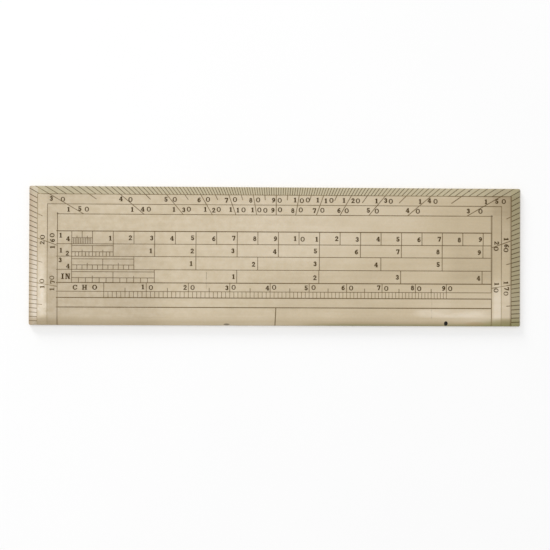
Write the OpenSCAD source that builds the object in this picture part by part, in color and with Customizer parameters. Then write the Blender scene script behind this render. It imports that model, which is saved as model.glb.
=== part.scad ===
// Rectangular protractor with plotting scales: one thin engraved plate whose cut lines and
// punched figures are filled with black pigment. Millimetres, +Z out of the graduated face,
// +Y towards the graduated long edge, origin at the middle of the underside.

/* [Plate] */
// Length of the plate
plate_length = 152.4; // [151.5:0.1:156]
// Width of the plate
plate_width = 42.9; // [42.7:0.1:45]
// Thickness of the plate
plate_thickness = 2; // [1.8:0.1:3]
// Thickness left at the three bevelled edges
edge_thickness = 1.2; // [1:0.1:1.5]
// Radius of the four corners, seen from above
corner_radius = 0.5; // [0.3:0.1:1.2]
// Width of the rounding along the plain long edge
rounding_width = 2.7; // [2:0.1:3.5]
// Height lost over that rounding
rounding_drop = 0.5; // [0.3:0.1:0.7]
// Chamfer round the underside
underside_chamfer = 0.2; // [0.1:0.05:0.4]
// Worn chamfer along the upper rim
rim_chamfer = 0.15; // [0.05:0.05:0.25]

/* [Engraving] */
// Depth of the cut lines and punched figures
groove_depth = 0.12; // [0.08:0.01:0.2]
// How far the pigment lies below the surface
pigment_sink = 0.03; // [0.01:0.01:0.05]
// Width of a fine line
fine_line = 0.13; // [0.1:0.01:0.15]
// Width of a heavy line
heavy_line = 0.2; // [0.16:0.01:0.22]
// Width of a degree graduation
degree_line = 0.15; // [0.12:0.01:0.16]
// Height of a punched figure
figure_height = 1.45; // [1.3:0.05:1.5]
// Height of a punched letter
letter_height = 1.5; // [1.3:0.05:1.6]
// Height of the letters I and N
inch_letter_height = 1.7; // [1.4:0.05:1.75]
// How far the hand-struck figures wander from their true places
figure_wander = 0.12; // [0:0.02:0.14]

/* [Degree scale] */
// Width of the graduated bevel on the long edge
long_bevel = 2.5; // [2.4:0.05:2.6]
// Width of the graduated bevels on the short edges
short_bevel = 2.8; // [2.7:0.05:2.9]
// Width of each band of degree figures
figure_band = 3.08; // [3.05:0.01:3.12]
// How far the border rules lie off the middle of the plate, by hand
border_shift = -0.15; // [-0.2:0.05:0]
// Share of the outer figure band that a five-degree graduation crosses
five_degree_reach = 0.5; // [0.3:0.05:0.6]
// The same between the numbers 120 and 150, where they were cut longer
long_five_degree_reach = 0.72; // [0.5:0.02:0.8]
// From a graduation back to the first figure of its number
degree_before = 0.95; // [0.9:0.05:1]
// From a graduation on to the second figure of its number
degree_after = 1.15; // [1.1:0.05:1.2]
// From the second figure of a number on to the third
degree_pitch = 1.6; // [1.5:0.05:1.7]
// How much farther the figures stand off, before and after, for each unit of a graduation's slope
degree_spread = [0.65, 0.2]; // [0.1:0.05:0.7]
// The same distances in the side columns: before, after and between
side_spacing = [1.05, 0.95, 1.5]; // [0.9:0.05:1.6]
// Sideways lean of the mark at the protractor's centre
centre_mark_lean = 0.3; // [0:0.05:0.5]

/* [Plotting scales] */
// Height of the scales' top rule above the plain edge
scales_top = 29; // [28.9:0.05:29.1]
// Heights of the four rows, from the top
row_heights = [3.95, 3.85, 4.05, 4.05]; // [3.85:0.05:4.1]
// Width of the column that names the scales
name_column = 4.4; // [4.35:0.05:4.45]
// Gap from each row's top to its divided block
block_gaps = [0, 0.55, 0.8, 0.7]; // [0:0.05:0.9]
// Height of the divisions of each block
division_heights = [1.85, 1.4, 1.4, 1.5]; // [1.3:0.05:1.9]
// How much higher every third division rises
division_rise = 0.6; // [0.4:0.05:0.7]
// Distance of each row's figures from their lines, middle to line
figure_offsets = [1, 1.2, 1.35, 1.1]; // [0.9:0.05:1.4]
// How far below the middle of its row a figure stands
figure_drop = 0.1; // [0:0.05:0.2]
// Distances of a fraction's two figures before the zero line
fraction_offsets = [3.4, 1.2]; // [1.1:0.05:3.5]
// Distances of the letters I and N before the zero line
inch_letter_offsets = [2.75, 1.2]; // [1.15:0.05:2.8]
// How much longer than true each row was divided, by hand
row_stretch = [0.0035, 0.003, 0.003, 0.001]; // [0:0.0005:0.004]
// How far the long rules were cut past the left-hand border
rule_overrun = 0.25; // [0.1:0.05:0.3]

/* [Scale of chords] */
// Heights of its rows: figures, divisions, and the blank row under them
chord_rows = [2.7, 1.9, 2.95]; // [1.8:0.05:3]
// Radius that the chords belong to
chord_radius = 75; // [74:0.1:76]
// Distance of its zero from the scales' zero line
chord_start = 9.9; // [9.7:0.05:10.1]
// Share of the figures' row that a five-degree chord line crosses
chord_five_reach = 0.42; // [0.3:0.02:0.5]
// From a ten-degree chord line back to the first figure of its number, and on to the second
chord_spacing = [0.95, 1.3]; // [0.9:0.05:1.4]
// Distances of the letters C, H and O after the zero line
chord_letter_offsets = [1.1, 4, 7.1]; // [1:0.1:7.2]

/* [Diagonal scale on the underside] */
// Distance between its eleven long rules
diagonal_pitch = 1.5; // [1.3:0.05:1.6]
// Distance of its top rule from the middle of the plate
diagonal_top = 8.2; // [8.2:0.1:9]
// Whole units between the two divided blocks
diagonal_units = 4; // [2:1:4]
// Distance of its figures from its outer rules
diagonal_figure_gap = 1.6; // [1.3:0.1:2]

/* [Hidden] */
$fn = 48;

ivory = "#d3bf9c";
pigment = "#2b2119";

inch = 25.4;
half_length = plate_length / 2;
half_width = plate_width / 2;
beyond = 1; // how far a cutting shape runs past what it cuts

// The three border rules, from the edge inwards: half their length and the height of their top run
border_line = [fine_line, fine_line, fine_line + 0.02];
function border_x(k) = half_length - short_bevel - k * figure_band;
function border_y(k) = half_width - long_bevel - k * figure_band;

// The long rules of the scales, from the top down
rule_gaps = concat(row_heights, chord_rows);
rule_line = [heavy_line, fine_line, fine_line, fine_line, heavy_line, fine_line, heavy_line, heavy_line];
function total(list, count) = count == 0 ? 0 : list[count - 1] + total(list, count - 1);
function rule_y(i) = scales_top - half_width - total(rule_gaps, i);
function row_top(i) = rule_y(i) - rule_line[i] / 2;
function row_bottom(i) = rule_y(i + 1) + rule_line[i + 1] / 2;
function row_middle(i) = (rule_y(i) + rule_y(i + 1)) / 2;

// The ends of the scales' rules, and the line that three of the scales count from
scale_left = border_shift - border_x(2) + border_line[2] / 2;
scale_right = border_shift + border_x(2) - border_line[2] / 2;
zero_x = border_shift - border_x(2) + name_column;
last_line_clearance = 1; // no unit line stands closer to the right-hand border than this

// The first whole degree whose line meets the long edge and not the right-hand one
first_long_edge_degree = ceil(atan(plate_width / half_length));

// ---------- plate ----------

// Cross-section along the plate's width, on its edge: x is the plate's y and y is its z
module width_section() {
    radius = (pow(rounding_width, 2) + pow(rounding_drop, 2)) / (2 * rounding_drop);
    rounding_y = -half_width + rounding_width;
    plain_rim = plate_thickness - rounding_drop - rim_chamfer;
    rim_rise = rim_chamfer * (plate_thickness - edge_thickness) / long_bevel;
    difference() {
        polygon([
            [-half_width + underside_chamfer, 0],
            [half_width - underside_chamfer, 0],
            [half_width, underside_chamfer],
            [half_width, edge_thickness - rim_chamfer],
            [half_width - rim_chamfer, edge_thickness + rim_rise],
            [half_width - long_bevel, plate_thickness],
            [-half_width + plate_thickness - plain_rim, plate_thickness],
            [-half_width, plain_rim],
            [-half_width, underside_chamfer]
        ]);
        difference() {
            translate([rounding_y - rounding_width - beyond, plate_thickness - 2 * rounding_drop])
                square([rounding_width + beyond, 2 * rounding_drop + beyond]);
            translate([rounding_y, plate_thickness - radius])
                circle(radius, $fn = 180);
        }
    }
}

// Cross-section along the plate's length, with a bevel at each end
module length_section() {
    rim_rise = rim_chamfer * (plate_thickness - edge_thickness) / short_bevel;
    polygon([
        [-half_length + underside_chamfer, 0],
        [half_length - underside_chamfer, 0],
        [half_length, underside_chamfer],
        [half_length, edge_thickness - rim_chamfer],
        [half_length - rim_chamfer, edge_thickness + rim_rise],
        [half_length - short_bevel, plate_thickness],
        [-half_length + short_bevel, plate_thickness],
        [-half_length + rim_chamfer, edge_thickness + rim_rise],
        [-half_length, edge_thickness - rim_chamfer],
        [-half_length, underside_chamfer]
    ]);
}

module corner_cut() {
    difference() {
        square(corner_radius + beyond);
        circle(corner_radius);
    }
}

// The plate before engraving
module blank() {
    difference() {
        intersection() {
            rotate([90, 0, 90])
                translate([0, 0, -half_length])
                    linear_extrude(plate_length)
                        width_section();
            rotate([90, 0, 0])
                translate([0, 0, -half_width])
                    linear_extrude(plate_width)
                        length_section();
        }
        for (x = [-1, 1], y = [-1, 1])
            translate([x * (half_length - corner_radius), y * (half_width - corner_radius), -beyond])
                rotate(x * y > 0 ? (x > 0 ? 0 : 180) : (x > 0 ? 270 : 90))
                    linear_extrude(plate_thickness + 2 * beyond)
                        corner_cut();
    }
}

// ---------- engraving ----------

// Grooves and pigment on the flat of the face
module flat_groove() {
    translate([0, 0, plate_thickness - groove_depth])
        linear_extrude(groove_depth + beyond)
            children();
}

module flat_pigment() {
    color(pigment)
        translate([0, 0, plate_thickness - groove_depth])
            linear_extrude(groove_depth - pigment_sink)
                children();
}

// Grooves and pigment that follow the face over its bevels and rounding
module edge_groove() {
    difference() {
        linear_extrude(plate_thickness + beyond)
            children();
        translate([0, 0, -groove_depth])
            blank();
    }
}

module edge_pigment() {
    color(pigment)
        difference() {
            intersection() {
                translate([0, 0, -pigment_sink])
                    blank();
                linear_extrude(plate_thickness)
                    children();
            }
            translate([0, 0, -groove_depth])
                blank();
        }
}

// Grooves and pigment on the underside, drawn as they read when the plate is turned over
module under_groove() {
    translate([0, 0, groove_depth])
        rotate([0, 180, 0])
            linear_extrude(groove_depth + beyond)
                children();
}

module under_pigment() {
    color(pigment)
        translate([0, 0, groove_depth])
            rotate([0, 180, 0])
                linear_extrude(groove_depth - pigment_sink)
                    children();
}

// ---------- punches: figures and letters of height 1, about the middle ----------

module oval_ring(half_w, side, top) {
    difference() {
        oval(half_w, 0.5);
        oval(half_w - side, 0.5 - top);
    }
}

module oval(half_w, half_h) {
    rise = half_h - half_w;
    for (y = [-rise, rise])
        translate([0, y])
            circle(half_w);
    square([2 * half_w, 2 * rise], center = true);
}

module ring(outer, inner, shift = 0) {
    difference() {
        circle(outer);
        translate([shift, 0])
            circle(inner);
    }
}

module dot(x, y, r) {
    translate([x, y])
        circle(r);
}

module one() {
    polygon([
        [-0.25, -0.5], [0.29, -0.5], [0.29, -0.4], [0.15, -0.4], [0.15, 0.5], [-0.02, 0.5],
        [-0.28, 0.34], [-0.23, 0.24], [-0.11, 0.31], [-0.11, -0.4], [-0.25, -0.4]
    ]);
}

module two() {
    difference() {
        translate([0, 0.18])
            ring(0.32, 0.14, -0.04);
        polygon([[-0.4, 0.25], [0, 0.19], [0.3, -0.1], [0.3, -0.2], [-0.4, -0.2]]);
    }
    dot(-0.21, 0.24, 0.12);
    polygon([
        [0.27, 0.04], [-0.06, -0.33], [0.36, -0.33], [0.36, -0.5], [-0.35, -0.5], [-0.35, -0.4],
        [0.08, 0.08]
    ]);
}

module three() {
    difference() {
        union() {
            translate([0, 0.22])
                ring(0.28, 0.11, -0.05);
            translate([0, -0.19])
                ring(0.31, 0.13, -0.06);
        }
        polygon([[-0.4, 0.27], [-0.06, 0.27], [-0.06, -0.24], [-0.4, -0.24]]);
    }
    dot(-0.19, 0.29, 0.11);
    dot(-0.22, -0.29, 0.11);
}

module four() {
    polygon(
        points = [
            [-0.02, 0.5], [0.23, 0.5], [0.23, -0.12], [0.37, -0.12], [0.37, -0.25], [0.23, -0.25],
            [0.23, -0.41], [0.34, -0.41], [0.34, -0.5], [-0.12, -0.5], [-0.12, -0.41], [-0.01, -0.41],
            [-0.01, -0.25], [-0.4, -0.25], [-0.4, -0.15],
            [-0.01, 0.25], [-0.01, -0.12], [-0.22, -0.12]
        ],
        paths = [[0, 1, 2, 3, 4, 5, 6, 7, 8, 9, 10, 11, 12, 13, 14], [15, 16, 17]]
    );
}

module five() {
    difference() {
        translate([0, -0.17])
            ring(0.33, 0.14, -0.05);
        polygon([[-0.5, 0], [-0.24, 0], [0, -0.18], [-0.15, -0.28], [-0.5, -0.28]]);
    }
    polygon([[-0.27, -0.06], [-0.12, -0.01], [-0.12, 0.34], [0.28, 0.34], [0.31, 0.5], [-0.27, 0.5]]);
    dot(-0.22, -0.3, 0.11);
}

module six() {
    translate([0, -0.18])
        ring(0.32, 0.13, 0.03);
    intersection() {
        translate([0.24, -0.08])
            ring(0.58, 0.43, 0.05);
        polygon([[-0.4, -0.12], [-0.1, -0.12], [0.2, 0.3], [0.2, 0.6], [-0.4, 0.6]]);
    }
    dot(0.18, 0.39, 0.11);
}

module seven() {
    polygon([
        [-0.34, 0.18], [-0.26, 0.18], [-0.19, 0.31], [0.13, 0.31], [-0.17, -0.5], [0.1, -0.5],
        [0.35, 0.34], [0.35, 0.5], [-0.34, 0.5]
    ]);
}

module eight() {
    translate([0, 0.22])
        ring(0.28, 0.11);
    translate([0, -0.18])
        ring(0.32, 0.14);
}

module nine() {
    rotate(180)
        six();
}

module zero() {
    oval_ring(0.42, 0.19, 0.13);
}

module figure(digit) {
    scale(figure_height)
        if (digit == 1)
            one();
        else if (digit == 2)
            two();
        else if (digit == 3)
            three();
        else if (digit == 4)
            four();
        else if (digit == 5)
            five();
        else if (digit == 6)
            six();
        else if (digit == 7)
            seven();
        else if (digit == 8)
            eight();
        else if (digit == 9)
            nine();
        else
            zero();
}

// A letter's upright with a serif at each end
module upright(x, thickness, serif) {
    translate([x, 0])
        square([thickness, 0.96], center = true);
    for (y = [-0.45, 0.45])
        translate([x, y])
            square([serif, 0.1], center = true);
}

module letter_i() {
    upright(0, 0.26, 0.54);
}

module letter_n() {
    upright(-0.28, 0.16, 0.32);
    upright(0.28, 0.16, 0.32);
    polygon([[-0.36, 0.5], [-0.08, 0.5], [0.36, -0.5], [0.14, -0.5]]);
}

module letter_h() {
    upright(-0.29, 0.24, 0.44);
    upright(0.29, 0.24, 0.44);
    square([0.58, 0.16], center = true);
}

module letter_c() {
    difference() {
        oval_ring(0.48, 0.25, 0.15);
        translate([0.2, -0.18])
            square([0.4, 0.32]);
    }
    translate([0.3, 0.14])
        square([0.13, 0.32]);
}

module letter_o() {
    oval_ring(0.49, 0.25, 0.14);
}

// A letter of some height in row i of the scales
module struck_letter(x, i, height = letter_height) {
    translate([x, row_middle(i) - figure_drop])
        scale(height)
            children();
}

// ---------- numbers ----------

function digits(value) =
    value < 10 ? [value] : concat(digits(floor(value / 10)), [value % 10]);

// How far a struck figure is off its true place: the same for the same place in every build
function wander(seed) = figure_wander * [sin(seed * 137), cos(seed * 211)];

module struck(x, y, seed) {
    translate([x, y] + wander(seed))
        children();
}

// A number read along x with its first figure before a line at x = 0 and the rest after it
module split_number(value, before, after, pitch, seed) {
    list = digits(value);
    for (i = [0 : len(list) - 1])
        struck(i == 0 ? -before : after + (i - 1) * pitch, 0, seed + i)
            figure(list[i]);
}

// ---------- degree scale ----------

// A line out from the protractor's centre, at an angle from the right-hand end
module degree_ray(angle) {
    reach = half_length + plate_width;
    translate([0, -half_width])
        rotate(angle)
            translate([border_y(2), -degree_line / 2])
                square([reach - border_y(2), degree_line]);
}

module degree_rays(from, to, step) {
    for (angle = [from : step : to])
        degree_ray(angle);
}

// The area between two nested outlines that stand on the plain edge
module between(outer_x, outer_y, inner_x, inner_y) {
    foot = -half_width - beyond;
    translate([border_shift, 0])
        difference() {
            translate([-outer_x, foot])
                square([2 * outer_x, outer_y - foot]);
            translate([-inner_x, foot - beyond])
                square([2 * inner_x, inner_y - foot + beyond]);
        }
}

// The area from border rule k inwards over a share of the figure band
module band(k, share = 1) {
    outer = border_line[k] / 2;
    depth = share == 1 ? figure_band - border_line[k + 1] / 2 : share * figure_band;
    between(border_x(k) - outer, border_y(k) - outer, border_x(k) - depth, border_y(k) - depth);
}

module graduated_edge() {
    outer = border_line[0] / 2;
    between(half_length + beyond, half_width + beyond, border_x(0) + outer, border_y(0) + outer);
}

module edge_lines(from, to) {
    intersection() {
        degree_rays(from, to, 1);
        graduated_edge();
    }
}

module long_edge_marks() {
    edge_lines(first_long_edge_degree, 180 - first_long_edge_degree);
}

module right_edge_marks() {
    edge_lines(1, first_long_edge_degree - 1);
}

module left_edge_marks() {
    edge_lines(181 - first_long_edge_degree, 179);
}

module five_degree_marks() {
    for (angle = [5 : 10 : 175])
        intersection() {
            degree_ray(angle);
            band(0, angle > 30 && angle < 60 ? long_five_degree_reach : five_degree_reach);
        }
}

module ten_degree_marks() {
    for (k = [0, 1])
        intersection() {
            degree_rays(10, 170, 10);
            band(k);
        }
}

module border_marks() {
    for (k = [0 : 2]) {
        outer = border_line[k] / 2;
        between(border_x(k) + outer, border_y(k) + outer, border_x(k) - outer, border_y(k) - outer);
    }
}

// Degree figures in the band inside border rule k, counted from the left in the outer band
// and from the right in the inner one
module degree_figures(k) {
    depth = (k + 0.5) * figure_band;
    row_y = border_y(0) - depth;
    for (angle = [30 : 10 : 150]) {
        slope = 1 / tan(angle);
        value = k == 0 ? 180 - angle : angle;
        translate([(row_y + half_width) * slope, row_y])
            split_number(
                value,
                degree_before + degree_spread[0] * abs(slope),
                degree_after + degree_spread[1] * abs(slope),
                degree_pitch + degree_spread[1] * abs(slope),
                angle + k
            );
    }
    for (angle = [10, 20], side = [-1, 1]) {
        from_left = side < 0 ? angle : 180 - angle;
        value = k == 0 ? from_left : 180 - from_left;
        column_x = border_shift + side * (border_x(0) - depth);
        translate([column_x, abs(column_x) * tan(angle) - half_width])
            rotate(-side * 90)
                split_number(value, side_spacing[0], side_spacing[1], side_spacing[2], angle + side + k);
    }
}

module cut_degree_figures(k) {
    difference() {
        degree_figures(k);
        ten_degree_marks();
    }
}

// ---------- plotting scales ----------

module rule(i, from, to) {
    translate([from, rule_y(i) - rule_line[i] / 2])
        square([to - from, rule_line[i]]);
}

module upright_line(x, bottom, top, line = fine_line) {
    translate([x - line / 2, bottom])
        square([line, top - bottom]);
}

module scale_rule_marks() {
    border_left = scale_left - border_line[2];
    for (i = [0 : len(rule_line) - 1]) {
        rule(i, scale_left, scale_right);
        rule(i, border_left - rule_overrun, border_left);
    }
    upright_line(zero_x, rule_y(4), rule_y(0));
}

function row_unit(i, unit_inches) = unit_inches * inch * (1 + row_stretch[i]);

// Row i of the plotting scales, for a unit of so many inches
module scale_marks(i, unit_inches) {
    unit = row_unit(i, unit_inches);
    bottom = row_bottom(i);
    top = row_top(i);
    division_top = rule_y(i + 1) + division_heights[i];
    block_top = block_gaps[i] == 0 ? top : rule_y(i) - block_gaps[i];
    block_x = zero_x + fine_line / 2;
    translate([block_x, division_top - fine_line / 2])
        square([unit - fine_line / 2, fine_line]);
    if (block_gaps[i] > 0)
        translate([block_x, block_top - fine_line / 2])
            square([unit - fine_line / 2, fine_line]);
    for (j = [1 : 11])
        upright_line(
            zero_x + unit * j / 12,
            bottom,
            j == 6 ? block_top : j % 3 == 0 ? division_top + division_rise : division_top
        );
    for (x = [zero_x + unit : unit : scale_right - last_line_clearance])
        upright_line(x, bottom, top);
}

module scale_figures(i, unit_inches) {
    unit = row_unit(i, unit_inches);
    count = floor((scale_right - last_line_clearance - zero_x) / unit) - 1;
    for (k = [1 : count])
        translate([zero_x + (k + 1) * unit, row_middle(i) - figure_drop])
            if (k == 10)
                split_number(10, figure_offsets[i] + 0.1, figure_offsets[i], 0, k);
            else
                struck(-figure_offsets[i], 0, 7 * i + k)
                    figure(k % 10);
}

// A fraction's two figures stepped down across the name column, each so far above the row's middle
module fraction_name(i, upper, upper_rise, lower, lower_rise) {
    struck(zero_x - fraction_offsets[0], row_middle(i) + upper_rise, i)
        figure(upper);
    struck(zero_x - fraction_offsets[1], row_middle(i) + lower_rise, i + 1)
        figure(lower);
}

module quarter_inch_number_marks() {
    fraction_name(0, 1, 0.5, 4, -0.35);
    scale_figures(0, 1 / 4);
}

module half_inch_number_marks() {
    fraction_name(1, 1, 0, 2, -1.05);
    scale_figures(1, 1 / 2);
}

module three_quarter_inch_number_marks() {
    fraction_name(2, 3, 0.8, 4, -1.05);
    scale_figures(2, 3 / 4);
}

module inch_number_marks() {
    struck_letter(zero_x - inch_letter_offsets[0], 3, inch_letter_height)
        letter_i();
    struck_letter(zero_x - inch_letter_offsets[1], 3, inch_letter_height)
        letter_n();
    scale_figures(3, 1);
}

// ---------- scale of chords ----------

function chord_x(angle) = zero_x + chord_start + 2 * chord_radius * sin(angle / 2);

module chord_marks() {
    for (angle = [0 : 90])
        upright_line(chord_x(angle), row_bottom(5), row_top(5));
    for (angle = [0 : 5 : 90])
        upright_line(
            chord_x(angle),
            row_bottom(4),
            angle % 10 == 0 ? row_top(4) : rule_y(5) + chord_rows[0] * chord_five_reach
        );
}

module chord_number_marks() {
    for (angle = [10 : 10 : 90])
        translate([chord_x(angle), row_middle(4)])
            split_number(angle, chord_spacing[0], chord_spacing[1], 0, angle);
    struck_letter(zero_x + chord_letter_offsets[0], 4)
        letter_c();
    struck_letter(zero_x + chord_letter_offsets[1], 4)
        letter_h();
    struck_letter(zero_x + chord_letter_offsets[2], 4)
        letter_o();
}

// The line that marks the protractor's centre, down from the lowest rule to the plain edge
module centre_mark_marks() {
    top = row_top(7);
    foot = -half_width - beyond;
    polygon([
        [-heavy_line / 2, top],
        [heavy_line / 2, top],
        [heavy_line / 2 - centre_mark_lean, foot],
        [-heavy_line / 2 - centre_mark_lean, foot]
    ]);
}

// ---------- diagonal scale on the underside ----------

diagonal_height = 10 * diagonal_pitch;
diagonal_foot = diagonal_top - diagonal_height;
diagonal_left = -(diagonal_units + 1.5) * inch / 2;
diagonal_right = diagonal_left + (diagonal_units + 1.5) * inch;

// A block that a tenth of its unit leans across its height, tenth by tenth
module diagonal_block(from, unit) {
    tenth = unit / 10;
    for (i = [0 : 9])
        polygon([
            [from + i * tenth - fine_line / 2, diagonal_foot],
            [from + i * tenth + fine_line / 2, diagonal_foot],
            [from + (i + 1) * tenth + fine_line / 2, diagonal_top],
            [from + (i + 1) * tenth - fine_line / 2, diagonal_top]
        ]);
}

module diagonal_marks() {
    for (i = [0 : 10])
        translate([diagonal_left, diagonal_foot + i * diagonal_pitch - fine_line / 2])
            square([diagonal_right - diagonal_left, fine_line]);
    for (i = [1 : diagonal_units + 1])
        upright_line(diagonal_left + i * inch, diagonal_foot, diagonal_top);
    upright_line(diagonal_left, diagonal_foot, diagonal_top);
    upright_line(diagonal_right, diagonal_foot, diagonal_top);
    diagonal_block(diagonal_left, inch);
    diagonal_block(diagonal_right - inch / 2, inch / 2);
}

module diagonal_number_marks() {
    above = diagonal_top + diagonal_figure_gap;
    below = diagonal_foot - diagonal_figure_gap;
    for (i = [0 : diagonal_units])
        struck(diagonal_left + (i + 1) * inch, above, i)
            figure(i);
    for (i = [2 : 2 : 8]) {
        struck(diagonal_left + (10 - i) * inch / 10, above, i)
            figure(i);
        struck(diagonal_left - diagonal_figure_gap, diagonal_foot + i * diagonal_pitch, i + 3)
            figure(i);
        struck(diagonal_right - i * inch / 20, below, i + 5)
            figure(i);
    }
}

// ---------- sub-parts ----------

module plate() {
    color(ivory)
        difference() {
            blank();
            flat_groove() {
                scale_rule_marks();
                five_degree_marks();
                ten_degree_marks();
                degree_figures(0);
                degree_figures(1);
                scale_marks(0, 1 / 4);
                scale_marks(1, 1 / 2);
                scale_marks(2, 3 / 4);
                scale_marks(3, 1);
                quarter_inch_number_marks();
                half_inch_number_marks();
                three_quarter_inch_number_marks();
                inch_number_marks();
                chord_marks();
                chord_number_marks();
            }
            edge_groove() {
                border_marks();
                long_edge_marks();
                left_edge_marks();
                right_edge_marks();
                centre_mark_marks();
            }
            under_groove() {
                diagonal_marks();
                diagonal_number_marks();
            }
        }
}

module border_rules() {
    edge_pigment()
        border_marks();
}

module scale_rules() {
    flat_pigment()
        scale_rule_marks();
}

module centre_mark() {
    edge_pigment()
        centre_mark_marks();
}

module long_edge_degree_lines() {
    edge_pigment()
        long_edge_marks();
}

module left_edge_degree_lines() {
    edge_pigment()
        left_edge_marks();
}

module right_edge_degree_lines() {
    edge_pigment()
        right_edge_marks();
}

module five_degree_lines() {
    flat_pigment()
        five_degree_marks();
}

module ten_degree_lines() {
    flat_pigment()
        ten_degree_marks();
}

module outer_degree_figures() {
    flat_pigment()
        cut_degree_figures(0);
}

module inner_degree_figures() {
    flat_pigment()
        cut_degree_figures(1);
}

module quarter_inch_scale() {
    flat_pigment()
        scale_marks(0, 1 / 4);
}

module half_inch_scale() {
    flat_pigment()
        scale_marks(1, 1 / 2);
}

module three_quarter_inch_scale() {
    flat_pigment()
        scale_marks(2, 3 / 4);
}

module inch_scale() {
    flat_pigment()
        scale_marks(3, 1);
}

module quarter_inch_figures() {
    flat_pigment()
        quarter_inch_number_marks();
}

module half_inch_figures() {
    flat_pigment()
        half_inch_number_marks();
}

module three_quarter_inch_figures() {
    flat_pigment()
        three_quarter_inch_number_marks();
}

module inch_figures() {
    flat_pigment()
        inch_number_marks();
}

module chord_scale() {
    flat_pigment()
        chord_marks();
}

module chord_figures() {
    flat_pigment()
        chord_number_marks();
}

module diagonal_scale() {
    under_pigment()
        diagonal_marks();
}

module diagonal_scale_figures() {
    under_pigment()
        diagonal_number_marks();
}

plate();
border_rules();
scale_rules();
centre_mark();
long_edge_degree_lines();
left_edge_degree_lines();
right_edge_degree_lines();
five_degree_lines();
ten_degree_lines();
outer_degree_figures();
inner_degree_figures();
quarter_inch_scale();
half_inch_scale();
three_quarter_inch_scale();
inch_scale();
quarter_inch_figures();
half_inch_figures();
three_quarter_inch_figures();
inch_figures();
chord_scale();
chord_figures();
diagonal_scale();
diagonal_scale_figures();
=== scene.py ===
# Looks, light and camera for the engraved protractor, in the model's own frame: +X along the plate,
# +Y towards the graduated long edge, +Z out of the graduated face. The floor and the lights are given
# in metres, and places on the plate and the camera's place in millimetres from the plate's middle.
import math

import bpy
from mathutils import Matrix, Vector


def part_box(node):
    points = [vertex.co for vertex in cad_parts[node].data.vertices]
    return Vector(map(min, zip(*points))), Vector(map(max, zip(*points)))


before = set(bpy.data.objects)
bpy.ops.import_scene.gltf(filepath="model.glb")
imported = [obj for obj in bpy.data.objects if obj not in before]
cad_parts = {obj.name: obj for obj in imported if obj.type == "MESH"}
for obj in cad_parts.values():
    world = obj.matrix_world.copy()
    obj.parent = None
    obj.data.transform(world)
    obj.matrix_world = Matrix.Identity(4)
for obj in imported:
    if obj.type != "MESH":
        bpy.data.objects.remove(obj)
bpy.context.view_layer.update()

MM = 0.001  # a millimetre in metres
LENGTH, WIDTH, THICKNESS = ((high - low) / MM for low, high in zip(*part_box("plate")))

# The border has three rules on each of three sides: left, top and right
BEVEL_X = LENGTH / 2 - 2.8  # shoulder of the bevels on the short edges
BEVEL_Y = WIDTH / 2 - 2.5  # shoulder of the bevel on the graduated long edge
OUTER_RULE_X = BEVEL_X - 0.3
INNER_RULE_LEFT, INNER_RULE_RIGHT = -67.39, 67.09
INNER_RULE_TOP = 12.9
PLAIN_EDGE_Y = 1.85 - WIDTH / 2  # where the plain long edge starts to round over
SIDE_BAND_X = 68.0  # the side bands of figures lie past this, left and right


def linear(red, green, blue):
    """A colour given as 8-bit sRGB levels, as the linear RGBA that shaders take."""
    levels = [level / 255 for level in (red, green, blue)]
    return [v / 12.92 if v <= 0.04045 else ((v + 0.055) / 1.055) ** 2.4 for v in levels] + [1.0]


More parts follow.
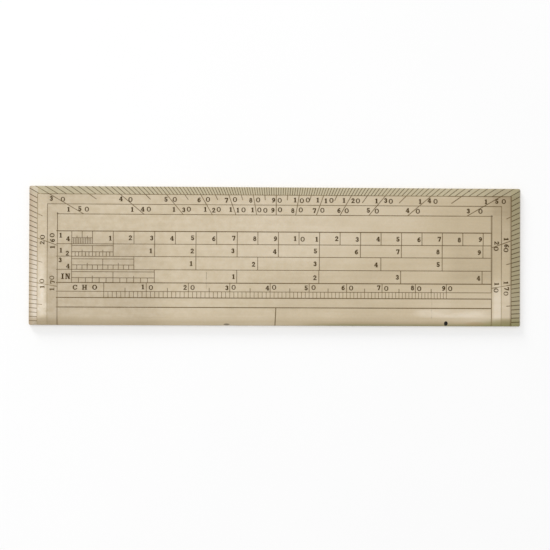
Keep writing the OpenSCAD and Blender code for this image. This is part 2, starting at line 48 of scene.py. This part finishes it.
class Graph:
    """Short ways to add nodes to one material. Values are numbers or sockets, places are millimetres."""

    def __init__(self, name):
        self.material = bpy.data.materials.new(name)
        self.material.use_nodes = True
        self.tree = self.material.node_tree
        self.shader = self.tree.nodes["Principled BSDF"]
        scaled = self.add("ShaderNodeVectorMath", operation="SCALE")
        self.put(scaled.inputs[0], self.add("ShaderNodeTexCoord").outputs["Object"])
        scaled.inputs["Scale"].default_value = 1 / MM
        self.place = scaled.outputs[0]
        split = self.add("ShaderNodeSeparateXYZ")
        self.put(split.inputs[0], self.place)
        self.x, self.y, self.z = split.outputs

    def add(self, kind, **settings):
        node = self.tree.nodes.new(kind)
        for name, value in settings.items():
            setattr(node, name, value)
        return node

    def put(self, socket, value):
        if isinstance(value, bpy.types.NodeSocket):
            self.tree.links.new(value, socket)
        else:
            socket.default_value = value

    def math(self, operation, *values):
        node = self.add("ShaderNodeMath", operation=operation)
        for socket, value in zip(node.inputs, values):
            self.put(socket, value)
        return node.outputs[0]

    def fold(self, operation, values):
        result = values[0]
        for value in values[1:]:
            result = self.math(operation, result, value)
        return result

    def times(self, *values):
        return self.fold("MULTIPLY", values)

    def plus(self, *values):
        return self.fold("ADD", values)

    def most(self, *values):
        return self.fold("MAXIMUM", values)

    def minus(self, first, second):
        return self.math("SUBTRACT", first, second)

    def step(self, value, start, end, low=0.0, high=1.0):
        """Goes smoothly from low, where value is start, to high, where it is end."""
        node = self.add("ShaderNodeMapRange", interpolation_type="SMOOTHSTEP")
        for socket, given in zip(node.inputs, (value, start, end, low, high)):
            self.put(socket, given)
        return node.outputs[0]

    def window(self, value, start, end, soft):
        """1 from start to end, falling to 0 over soft on both sides."""
        rise = self.step(value, start - soft, start)
        fall = self.step(value, end, end + soft, 1.0, 0.0)
        return self.times(rise, fall)

    def spot(self, x, y, radius_x, radius_y, soft=1.0):
        """1 at a place on the plate, falling to 0 at an ellipse round it."""
        across = self.math("DIVIDE", self.minus(self.x, x), radius_x)
        along = self.math("DIVIDE", self.minus(self.y, y), radius_y)
        reach = self.plus(self.times(across, across), self.times(along, along))
        return self.step(reach, 1.0 - soft, 1.0, 1.0, 0.0)

    def near(self, value, centre, reach):
        """1 where value is centre, falling to 0 at reach on both sides."""
        return self.step(self.math("ABSOLUTE", self.minus(value, centre)), 0.0, reach, 1.0, 0.0)

    def hollow(self, reach):
        """1 on open ground, less within reach of a groove or an arris of the same mesh."""
        node = self.add("ShaderNodeAmbientOcclusion", inside=True, only_local=True, samples=8)
        node.inputs["Distance"].default_value = reach * MM
        return node.outputs["AO"]

    def noise(self, scale, stretch=(1, 1, 1), shift=(0, 0, 0), turn=0.0, detail=3.0, roughness=0.5):
        """Fractal noise from 0 to 1. scale is in features per millimetre, before the stretch."""
        mapping = self.add("ShaderNodeMapping")
        self.put(mapping.inputs["Vector"], self.place)
        mapping.inputs["Scale"].default_value = stretch
        mapping.inputs["Location"].default_value = shift
        mapping.inputs["Rotation"].default_value = (0, 0, math.radians(turn))
        node = self.add("ShaderNodeTexNoise")
        self.put(node.inputs["Vector"], mapping.outputs[0])
        node.inputs["Scale"].default_value = scale
        node.inputs["Detail"].default_value = detail
        node.inputs["Roughness"].default_value = roughness
        return node.outputs[0]

    def blend(self, amount, first, second):
        node = self.add("ShaderNodeMix", data_type="RGBA")
        self.put(node.inputs[0], amount)
        self.put(node.inputs[6], first)
        self.put(node.inputs[7], second)
        return node.outputs[2]

    def ramp(self, value, stops):
        node = self.add("ShaderNodeValToRGB")
        self.put(node.inputs[0], value)
        for _ in stops[2:]:
            node.color_ramp.elements.new(0.5)
        for element, (position, colour) in zip(node.color_ramp.elements, stops):
            element.position = position
            element.color = colour
        return node.outputs[0]

    def bump(self, height, strength, distance):
        node = self.add("ShaderNodeBump")
        node.inputs["Strength"].default_value = strength
        node.inputs["Distance"].default_value = distance
        self.put(node.inputs["Height"], height)
        return node.outputs[0]


# ---------- ivory ----------

PALE_IVORY = linear(213, 199, 176)  # rubbed clean by hands, and where highlights are painted
IVORY = linear(189, 172, 141)
OLD_IVORY = linear(156, 138, 107)  # yellowed and stained, and where shade is painted
BEVEL_HIGHLIGHT_WHITE = linear(222, 210, 194)
HIGHLIGHT_WHITE = linear(228, 218, 200)
RIM_SHADE_BROWN = linear(178, 158, 138)
WARM_BROWN = linear(168, 132, 92)
LIGHT_BROWN = linear(172, 152, 116)
PALE_GREEN = linear(172, 167, 140)
PALE_OLIVE = linear(161, 152, 118)
OLIVE = linear(130, 130, 88)
DARK_OLIVE = linear(128, 126, 74)
DUST = linear(164, 144, 108)
GRIME = linear(82, 58, 12)
NEARLY_BLACK = linear(14, 8, 2)

GRIME_REACH = 0.25  # how far dirt spreads from a groove or an arris
# The deepest long rules: where each one is, and how dirty the ivory is beside it
DIRTY_RULES = ((7.55, 0.28), (-8.35, 0.28), (-12.95, 0.34), (-15.9, 0.2))


def face(g):
    """1 on the graduated face, falling to 0 down the sides."""
    return g.step(g.z, 0.5, 1.1)


def above_plain_edge(g):
    return g.step(g.y, PLAIN_EDGE_Y, PLAIN_EDGE_Y + 2.0)


def mottling(g):
    """Clouds, streaks along the plate and specks, as an age near 0.5."""
    cloud = g.noise(0.05, detail=4.0, roughness=0.55)
    streak = g.noise(0.9, stretch=(0.04, 1.0, 1.0), detail=5.0, roughness=0.6)
    speck = g.noise(1.6, shift=(7, 3, 0), detail=3.0, roughness=0.7)
    return g.plus(
        g.step(cloud, 0.3, 0.7, 0.44, 0.56),
        g.step(streak, 0.3, 0.7, -0.04, 0.04),
        g.step(speck, 0.3, 0.7, -0.03, 0.03),
    )


def middle_shades(g):
    """Older and cleaner parts of the middle of the face, with painted shade and a painted highlight
    towards the right end, as changes of age.
    """
    left_third = g.step(g.x, -28.0, -46.0)
    far_left = g.step(g.x, -44.0, -60.0)
    return [
        g.times(0.2, left_third, g.step(g.y, 7.0, 3.0)),
        g.times(0.1, far_left, g.step(g.y, 3.0, 7.0)),
        g.times(-0.14, g.spot(8, 8, 50, 16)),
        # darker towards the upper right: painted shade for the light's fall-off
        g.times(0.08, g.spot(56, 10, 16, 9)),
        # a painted highlight on the lower right corner, and painted shade on the upper right corner where
        # the light falls off
        g.times(-0.23, g.spot(64, -14.5, 24, 9)),
        g.times(0.34, g.spot(77, 20, 18, 12)),
        g.times(0.12, g.window(g.y, -16.0, 2.0, 3.0), g.window(g.x, 57, 66, 6)),
    ]


def side_band_shades(g):
    """Painted highlights and painted shade on the bands of figures at both ends, as changes of age."""
    downwards = g.step(g.y, 9.0, -8.0)
    low_left = g.window(g.y, -18.6, -4.0, 5.0)
    return [
        # a painted highlight beside the outer rule on the left, down to the plain edge, then painted
        # shade on the rounded plain edge below it
        g.times(-0.1, g.window(g.x, -OUTER_RULE_X, -71.2, 1.0)),
        g.times(-0.36, g.window(g.x, -73.0, -71.8, 1.6), downwards, above_plain_edge(g)),
        g.times(-0.22, g.near(g.x, -72.2, 1.2), low_left, above_plain_edge(g)),
        g.times(0.14, g.step(g.x, -66.0, -72.0), g.step(g.y, -18.0, -19.8)),
        g.times(0.04, g.window(g.x, -69.8, -68.2, 1.2)),
        # on the right: a painted highlight low down, painted shade above it, and painted shade on the
        # rounded plain edge
        g.times(-0.3, g.window(g.x, 68.2, 69.6, 1.0), g.step(g.y, -3.0, -12.0)),
        g.times(0.13, g.step(g.x, 66.8, 68.2), g.step(g.y, -6.0, 2.0)),
        g.times(0.5, g.step(g.x, 66.0, 69.0), g.step(g.y, -18.4, -20.0)),
    ]


def plain_edge_shades(g):
    """Painted shade on the rounded plain edge, and a painted highlight in a streak above it on the right,
    as changes of age.
    """
    highlight_breakup = g.noise(0.5, stretch=(0.3, 1.0, 1.0), shift=(1, 4, 0), detail=3.0)
    streak = g.times(g.window(g.y, -18.2, -17.0, 1.0), g.window(g.x, 47, 62, 6))
    return [
        # painted shade where the plain edge rounds over, then a painted highlight broken up by noise
        g.times(0.26, g.step(g.y, PLAIN_EDGE_Y, -21.3), g.window(g.x, 24, 72, 22)),
        g.times(-0.28, streak, g.step(highlight_breakup, 0.3, 0.6, 0.5, 1.2)),
    ]


def age_and_painted_light(g):
    """How old the surface looks, with painted highlights and painted shade added in: 0 where it is rubbed
    clean or a highlight is painted, 0.5 on most of it, 1 where it is darkest.
    """
    shades = middle_shades(g) + side_band_shades(g) + plain_edge_shades(g)
    return g.plus(mottling(g), g.times(g.plus(*shades), face(g)))


def thin_grime(g):
    """Dirt that has crept out of the engraving, and dirt on the arrises."""
    close = g.step(g.hollow(GRIME_REACH), 0.97, 0.55)
    patchy = g.step(g.noise(0.35, detail=3.0), 0.25, 0.75, 0.75, 1.1)
    more_to_right = g.step(g.x, -70.0, 70.0, 0.38, 0.56)
    less_on_long_bevel = g.step(g.y, BEVEL_Y - 0.2, BEVEL_Y + 0.3, 1.0, 0.35)
    # hands have rubbed it off between the chord lines, in the side bands and at the left outer rule
    chords = g.times(g.window(g.y, -12.7, -11.2, 0.2), g.step(g.x, -50.0, -20.0, 0.4, 0.85))
    left_band = g.times(0.7, g.step(g.x, -SIDE_BAND_X, -69.0), g.step(g.y, 8.0, -6.0))
    left_rule = g.times(0.6, g.window(g.x, -73.6, -72.4, 0.4))
    right_band = g.times(0.7, g.window(g.x, 69.0, 71.5, 0.5), g.step(g.y, 2.0, -8.0))
    kept = g.minus(1.0, g.most(chords, left_band, left_rule, right_band))
    return g.times(close, patchy, more_to_right, less_on_long_bevel, kept)


def heavy_grime(g):
    """Wider smears along the rules that are cut deepest, and round the finest divisions."""
    between = g.window(g.x, INNER_RULE_LEFT, INNER_RULE_RIGHT, 0.1)
    smears = [g.times(amount, g.near(g.y, y, 0.4), between) for y, amount in DIRTY_RULES]
    below_top_rule = g.step(g.y, INNER_RULE_TOP + 0.1, INNER_RULE_TOP - 0.1)
    upper_right = g.times(below_top_rule, g.step(g.y, -15.0, -1.0, 0.0, 0.62))
    smears += [
        g.times(g.near(g.x, INNER_RULE_RIGHT, 0.5), upper_right),
        g.times(0.42, g.near(g.x, INNER_RULE_LEFT, 0.45), g.step(g.y, -12.0, -14.5)),
        g.times(0.5, g.near(g.x, OUTER_RULE_X, 0.45), g.step(g.y, BEVEL_Y + 0.15, BEVEL_Y - 0.05)),
        g.times(0.12, g.spot(-59.7, 4.55, 3.9, 1.6, 0.4)),
    ]
    return g.times(g.most(*smears), face(g))


def dark_marks(g):
    """Small flaws: a scratch, a short crack, and spots on the plain edge, the bevel and two corners."""
    wobble = g.times(0.25, g.minus(g.noise(0.8, detail=2.0), 0.5))
    scratch_x = g.plus(g.x, wobble)
    crack = g.near(g.plus(g.x, g.times(2.0, wobble)), 48.4, 0.16)
    gaps = g.step(g.noise(1.2), 0.5, 0.6, 0.1, 0.35)
    marks = g.most(
        g.times(0.5, g.near(scratch_x, -21.5, 0.16), g.window(g.y, -7.0, -5.1, 0.3)),
        g.times(0.25, g.near(scratch_x, -21.5, 0.14), g.window(g.y, -10.0, -5.1, 0.3)),
        g.times(crack, g.window(g.y, -19.0, -13.2, 0.5), gaps),
        g.spot(52.9, -20.6, 0.65, 0.8, 0.4),
        g.times(0.7, g.spot(60.1, 20.6, 0.28, 0.28, 0.6)),
        g.times(0.6, g.spot(-15.2, -21.1, 1.1, 0.35, 0.6)),
        g.times(0.6, g.spot(INNER_RULE_RIGHT, INNER_RULE_TOP - 0.05, 0.4, 0.3, 0.6)),
        g.times(0.6, g.spot(INNER_RULE_LEFT, INNER_RULE_TOP + 0.05, 0.3, 0.4, 0.6)),
    )
    return g.times(marks, face(g))


def bevel_tints_and_painted_light(g, colour):
    """Greenish on the long bevel; on the left, a painted highlight inside painted shade along the rim;
    olive on the right, darkened there as painted shade.
    """
    on_top = g.times(g.step(g.y, BEVEL_Y - 0.1, BEVEL_Y + 0.3), face(g))
    on_left = g.times(g.step(g.x, -BEVEL_X + 0.1, -BEVEL_X - 0.3), face(g))
    on_right = g.times(g.step(g.x, BEVEL_X - 0.3, BEVEL_X + 0.1), face(g))
    # painted shade along the outer rim of the left bevel, where it rounds away from the light
    rim_shade = g.times(0.55, on_left, g.step(g.x, -74.6, -75.8), g.step(g.y, -6.0, 10.0, 0.6, 1.0))
    inside_rim = g.step(g.x, -76.1, -74.4, 0.05, 1.0)
    downwards = g.step(g.y, 16.0, -8.0, 0.3, 0.8)
    above_corner = g.step(g.y, -19.8, -18.4, 0.3, 1.0)
    # a painted highlight on the left bevel, inside the rim
    painted_bevel_highlight = g.times(on_left, inside_rim, downwards, above_corner)
    colour = g.blend(g.times(0.5, on_top), colour, PALE_GREEN)
    colour = g.blend(rim_shade, colour, RIM_SHADE_BROWN)
    colour = g.blend(painted_bevel_highlight, colour, BEVEL_HIGHLIGHT_WHITE)
    # olive patina on the right bevel, darkened as painted shade where the bevel faces away from the light
    return g.blend(g.times(0.75, on_right), colour, PALE_OLIVE)


def low_corner_shade_and_highlights(g, colour):
    """Painted shade on the rounded plain edge towards the right, in brown, then olive, and painted
    highlights as whitish blotches at the left.
    """
    to_right = g.times(g.window(g.x, 24, 66, 24), face(g))
    # painted shade where the plain edge rounds over towards the right
    colour = g.blend(g.times(0.35, to_right, g.step(g.y, -19.8, -20.8)), colour, LIGHT_BROWN)
    colour = g.blend(g.times(0.6, to_right, g.step(g.y, -20.5, -21.3)), colour, OLIVE)
    colour = g.blend(g.times(0.6, g.spot(72, -22, 15, 3.6), face(g)), colour, DARK_OLIVE)
    colour = g.blend(g.times(0.3, g.spot(62, -20.7, 4, 0.8), face(g)), colour, WARM_BROWN)
    # painted highlights in whitish blotches low on the left
    patches = g.step(g.noise(0.7, shift=(3, 9, 0), detail=2.0), 0.46, 0.7)
    highlight_blotches = g.times(0.5, patches, g.spot(-73, -15.5, 3.5, 9), above_plain_edge(g), face(g))
    return g.blend(highlight_blotches, colour, HIGHLIGHT_WHITE)


def ivory_relief(g):
    """Height of the surface's small shapes, in millimetres."""
    streak = g.noise(1.6, stretch=(0.05, 1.0, 1.0), detail=4.0, roughness=0.65)
    waves = g.noise(0.12, detail=1.0)
    hairlines = g.noise(9.0, stretch=(0.03, 1.0, 1.0), turn=8, detail=2.0)
    near_ends = g.most(0.0, g.minus(g.math("ABSOLUTE", g.x), 71.0))
    return g.plus(
        g.times(-0.012, near_ends, near_ends),
        g.times(0.012, streak),
        g.times(0.09, waves),
        g.times(0.003, hairlines),
    )


def ivory_material():
    g = Graph("aged_ivory")
    colour = g.ramp(age_and_painted_light(g), ((0.0, PALE_IVORY), (0.5, IVORY), (1.0, OLD_IVORY)))
    colour = low_corner_shade_and_highlights(g, bevel_tints_and_painted_light(g, colour))

    # the sides and the underside are handled, and dirtier
    dust = g.step(g.noise(0.25, detail=5.0, roughness=0.65), 0.3, 0.7, 0.0, 0.6)
    colour = g.blend(g.times(g.minus(1.0, face(g)), dust), colour, DUST)
    colour = g.blend(g.most(thin_grime(g), heavy_grime(g)), colour, GRIME)
    marks = dark_marks(g)
    g.put(g.shader.inputs["Base Color"], g.blend(marks, colour, NEARLY_BLACK))

    polish = g.step(g.noise(0.6, detail=4.0, roughness=0.6), 0.3, 0.7, 0.32, 0.46)
    g.put(g.shader.inputs["Roughness"], g.plus(polish, g.times(0.5, marks)))
    g.shader.inputs["Specular IOR Level"].default_value = 0.5
    g.shader.inputs["Subsurface Weight"].default_value = 0.06
    g.shader.inputs["Subsurface Radius"].default_value = (1.0, 0.7, 0.4)
    g.shader.inputs["Subsurface Scale"].default_value = 0.4 * MM
    g.put(g.shader.inputs["Normal"], g.bump(ivory_relief(g), 1.0, MM))
    return g.material


# ---------- pigment ----------


def rubbed_out(g):
    """Where hands have rubbed wax out: the side bands low down, and the left outer rule."""
    left = g.times(g.step(g.x, -67.8, -69.0), g.step(g.y, 8.0, -10.0, 0.05, 0.6))
    left_rule = g.window(g.x, -73.4, -72.6, 0.3)
    right_band = g.times(g.step(g.x, SIDE_BAND_X, 69.0), g.step(g.x, 72.0, 71.0))
    right = g.times(0.4, right_band, g.step(g.y, 2.0, -8.0))
    return g.plus(left, left_rule, right)


def pigment_material(name, whole, faded, wear):
    """Wax in the engraving. wear is how far it has faded from whole to faded, where it has most."""
    g = Graph(name)
    along = g.noise(0.14, detail=3.0, roughness=0.6)
    crumb = g.noise(2.4, detail=3.0, roughness=0.6)
    lost = g.plus(
        g.step(along, 0.35, 0.65, 0.0, wear),
        g.step(crumb, 0.55, 0.75, 0.0, 0.6 * wear),
        g.times(0.4 + wear, rubbed_out(g)),
    )
    g.put(g.shader.inputs["Base Color"], g.blend(g.math("MINIMUM", lost, 0.9), whole, faded))
    g.put(g.shader.inputs["Roughness"], g.step(crumb, 0.3, 0.7, 0.75, 0.95))
    g.shader.inputs["Specular IOR Level"].default_value = 0.12
    g.put(g.shader.inputs["Normal"], g.bump(g.times(0.01, g.noise(6.0)), 1.0, MM))
    return g.material


DARK_WAX = linear(62, 45, 8)
BROWN_WAX = linear(86, 66, 22)
FADED_WAX = linear(140, 120, 84)
WORN_WAX = linear(168, 150, 116)  # almost gone

# One material for each family of marks
LOOKS = {
    "figure": pigment_material("figure_wax", DARK_WAX, FADED_WAX, 0.1),
    "rule": pigment_material("rule_wax", BROWN_WAX, FADED_WAX, 0.25),
    "border": pigment_material("border_wax", BROWN_WAX, WORN_WAX, 0.45),
    "graduation": pigment_material("graduation_wax", DARK_WAX, FADED_WAX, 0.25),
    "ray": pigment_material("ray_wax", BROWN_WAX, FADED_WAX, 0.5),
}

# The family of each node that is neither figures nor a plain rule
FAMILIES = {
    "border_rules": "border",
    "long_edge_degree_lines": "graduation",
    "left_edge_degree_lines": "graduation",
    "right_edge_degree_lines": "figure",
    "five_degree_lines": "ray",
    "ten_degree_lines": "ray",
}


def dress(node, material):
    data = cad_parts[node].data
    data.materials.clear()
    data.materials.append(material)


dress("plate", ivory_material())
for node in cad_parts:
    if node != "plate":
        family = "figure" if node.endswith("figures") else FAMILIES.get(node, "rule")
        dress(node, LOOKS[family])


# ---------- floor, light and camera ----------


def floor(half):
    """A square of pale paper, with the origin at its middle. half is half its side."""
    mesh = bpy.data.meshes.new("floor")
    corners = [(-half, -half, 0), (half, -half, 0), (half, half, 0), (-half, half, 0)]
    mesh.from_pydata(corners, [], [(0, 1, 2, 3)])
    thing = bpy.data.objects.new("floor", mesh)
    bpy.context.scene.collection.objects.link(thing)
    g = Graph("pale_paper")
    tone = g.blend(g.noise(0.02, detail=2.0), linear(246, 246, 246), linear(248, 248, 248))
    g.put(g.shader.inputs["Base Color"], tone)
    g.shader.inputs["Roughness"].default_value = 0.9
    g.shader.inputs["Specular IOR Level"].default_value = 0.1
    mesh.materials.append(g.material)


def area_light(name, position, size, power):
    """A round soft light that faces the plate."""
    data = bpy.data.lights.new(name, "AREA")
    data.shape = "DISK"
    data.size = size
    data.energy = power
    lamp = bpy.data.objects.new(name, data)
    bpy.context.scene.collection.objects.link(lamp)
    lamp.location = position
    lamp.rotation_euler = (-Vector(position)).to_track_quat("-Z", "Y").to_euler()


def sky(strength):
    """Even white light from all round."""
    world = bpy.data.worlds.new("studio")
    world.use_nodes = True
    world.node_tree.nodes["Background"].inputs["Color"].default_value = (1, 1, 1, 1)
    world.node_tree.nodes["Background"].inputs["Strength"].default_value = strength
    bpy.context.scene.world = world


def camera(aim, offset, roll):
    """aim is the place at the middle of the picture and offset runs from it to the camera, both in
    millimetres. roll is in degrees."""
    data = bpy.data.cameras.new("camera")
    data.lens = 85
    data.sensor_width = 36
    data.clip_start = 0.01
    data.clip_end = 60
    seer = bpy.data.objects.new("camera", data)
    bpy.context.scene.collection.objects.link(seer)
    back = offset.normalized()
    up = Vector((-math.sin(math.radians(roll)), math.cos(math.radians(roll)), 0))
    right = up.cross(back).normalized()
    up = back.cross(right)
    pose = Matrix((right, up, back)).transposed().to_4x4()
    pose.translation = (aim + offset) * MM
    seer.matrix_world = pose
    bpy.context.scene.camera = seer


floor(half=15.0)
sky(strength=0.5)
area_light("top", position=(-0.5, 0.15, 2.4), size=1.6, power=30.0)
area_light("side", position=(-1.19, 2.06, 0.77), size=0.9, power=24.0)
# nearly straight above the plate, which lies above the middle of the picture
camera(aim=Vector((-0.3, -5.76, THICKNESS)), offset=Vector((-12.4, -3.5, 401.7)), roll=0.244)
bpy.context.scene.view_settings.view_transform = "Standard"
